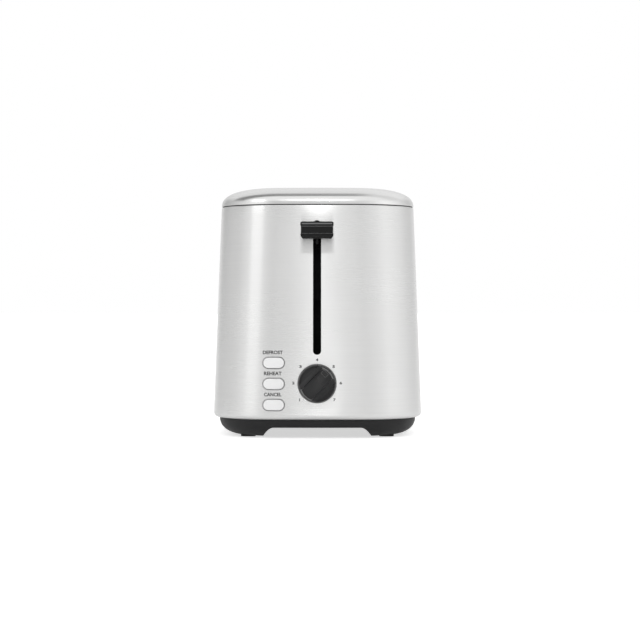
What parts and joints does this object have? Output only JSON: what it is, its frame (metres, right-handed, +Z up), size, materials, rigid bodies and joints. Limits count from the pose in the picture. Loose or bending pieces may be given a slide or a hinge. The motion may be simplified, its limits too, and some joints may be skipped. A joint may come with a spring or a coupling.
{
  "type": "pop up toaster",
  "caption": "Two-slice pop-up toaster with a steel housing, domed cover, black base, sliding lever, browning dial, push buttons and a rear crumb tray.",
  "frame": {"origin": "middle of the whole toaster's footprint, on the surface it stands on", "axes": "+Z up; -Y towards the control end with the lever, dial and buttons; +X to the right as seen from in front of the controls"},
  "size_m": [0.1718, 0.3002, 0.2036],
  "materials": {
    "housing_steel": "vertical-band brushed stainless steel",
    "cover_steel": "fine satin stainless steel",
    "sheet_steel": "plain zinc-plated sheet",
    "bright_wire": "bright plated wire",
    "black_plastic": "fine-textured black plastic",
    "gloss_black": "satin black plastic",
    "silver_plastic": "silver-painted plastic",
    "foot_rubber": "matt black rubber",
    "mica_sheet": "pressed mica sheet",
    "heating_wire": "oxidised resistance ribbon",
    "circuit_laminate": "brown paper laminate",
    "copper_alloy": "copper and spring bronze",
    "plain_iron": "plain bright steel"
  },
  "bodies": {
    "housing": {"body_shell": "housing_steel", "top_cover": "cover_steel", "base": "black_plastic", "cord_gland": "black_plastic", "slot_guide": "black_plastic", "foot_front_left": "foot_rubber", "foot_front_right": "foot_rubber", "foot_rear_left": "foot_rubber", "foot_rear_right": "foot_rubber", "base_screw_front_left": "plain_iron", "base_screw_front_right": "plain_iron", "base_screw_rear_left": "plain_iron", "base_screw_rear_right": "plain_iron", "chamber_front_plate": "sheet_steel", "chamber_rear_plate": "sheet_steel", "chamber_left_wall": "sheet_steel", "chamber_right_wall": "sheet_steel", "slot_frame": "sheet_steel", "heater_card_left": "mica_sheet", "heater_card_centre": "mica_sheet", "heater_card_right": "mica_sheet", "heating_ribbon_left": "heating_wire", "heating_ribbon_centre": "heating_wire", "heating_ribbon_right": "heating_wire", "guide_rod": "plain_iron", "return_spring": "plain_iron", "control_bracket": "black_plastic", "circuit_board": "circuit_laminate", "browning_control": "sheet_steel", "magnet_core": "plain_iron", "magnet_coil": "copper_alloy", "contact_block": "black_plastic", "contact_blade_live": "copper_alloy", "contact_blade_neutral": "copper_alloy", "defrost_switch": "black_plastic", "reheat_switch": "black_plastic", "cancel_switch": "black_plastic"},
    "carriage": {"lever_knob": "gloss_black", "lever_arm": "sheet_steel", "carriage_plate": "sheet_steel", "carriage_bush": "black_plastic", "keeper_plate": "plain_iron", "contact_pusher": "black_plastic", "bread_rack_left": "sheet_steel", "bread_rack_right": "sheet_steel"},
    "guide_left_outer": {"bread_guide_left_outer": "bright_wire"},
    "guide_left_inner": {"bread_guide_left_inner": "bright_wire"},
    "guide_right_inner": {"bread_guide_right_inner": "bright_wire"},
    "guide_right_outer": {"bread_guide_right_outer": "bright_wire"},
    "dial": {"browning_dial": "gloss_black", "control_shaft": "plain_iron"},
    "defrost_key": {"defrost_button": "silver_plastic", "defrost_plunger": "silver_plastic"},
    "reheat_key": {"reheat_button": "silver_plastic", "reheat_plunger": "silver_plastic"},
    "cancel_key": {"cancel_button": "silver_plastic", "cancel_plunger": "silver_plastic"},
    "tray": {"crumb_tray": "sheet_steel", "crumb_tray_handle": "black_plastic"}
  },
  "joints": [
    {"name": "lever_slide", "type": "slide", "parent": "housing", "child": "carriage", "axis": [0, 0, -1], "range_m": [0, 0.08], "stiffness_N_per_m": 60, "springref_m": -0.06, "deforming": ["return_spring"]},
    {"name": "guide_left_outer_slide", "type": "slide", "parent": "housing", "child": "guide_left_outer", "axis": [1, 0, 0], "range_m": [0, 0.006]},
    {"name": "guide_left_inner_slide", "type": "slide", "parent": "housing", "child": "guide_left_inner", "axis": [-1, 0, 0], "range_m": [0, 0.006]},
    {"name": "guide_right_inner_slide", "type": "slide", "parent": "housing", "child": "guide_right_inner", "axis": [1, 0, 0], "range_m": [0, 0.006]},
    {"name": "guide_right_outer_slide", "type": "slide", "parent": "housing", "child": "guide_right_outer", "axis": [-1, 0, 0], "range_m": [0, 0.006]},
    {"name": "dial_turn", "type": "hinge", "parent": "housing", "child": "dial", "pos_m": [0, -0.14, 0.0444], "axis": [0, 1, 0], "range_deg": [-180, 90]},
    {"name": "defrost_press", "type": "slide", "parent": "housing", "child": "defrost_key", "axis": [0, 1, 0], "range_m": [0, 0.001], "stiffness_N_per_m": 1000, "springref_m": -0.001},
    {"name": "reheat_press", "type": "slide", "parent": "housing", "child": "reheat_key", "axis": [0, 1, 0], "range_m": [0, 0.001], "stiffness_N_per_m": 1000, "springref_m": -0.001},
    {"name": "cancel_press", "type": "slide", "parent": "housing", "child": "cancel_key", "axis": [0, 1, 0], "range_m": [0, 0.001], "stiffness_N_per_m": 1000, "springref_m": -0.001},
    {"name": "crumb_tray_slide", "type": "slide", "parent": "housing", "child": "tray", "axis": [0, 1, 0], "range_m": [0, 0.2]}
  ],
  "couplings": [
    {"joint": "guide_left_outer_slide", "follows": "lever_slide", "ratio": 0.075},
    {"joint": "guide_left_inner_slide", "follows": "lever_slide", "ratio": 0.075},
    {"joint": "guide_right_inner_slide", "follows": "lever_slide", "ratio": 0.075},
    {"joint": "guide_right_outer_slide", "follows": "lever_slide", "ratio": 0.075}
  ]
}
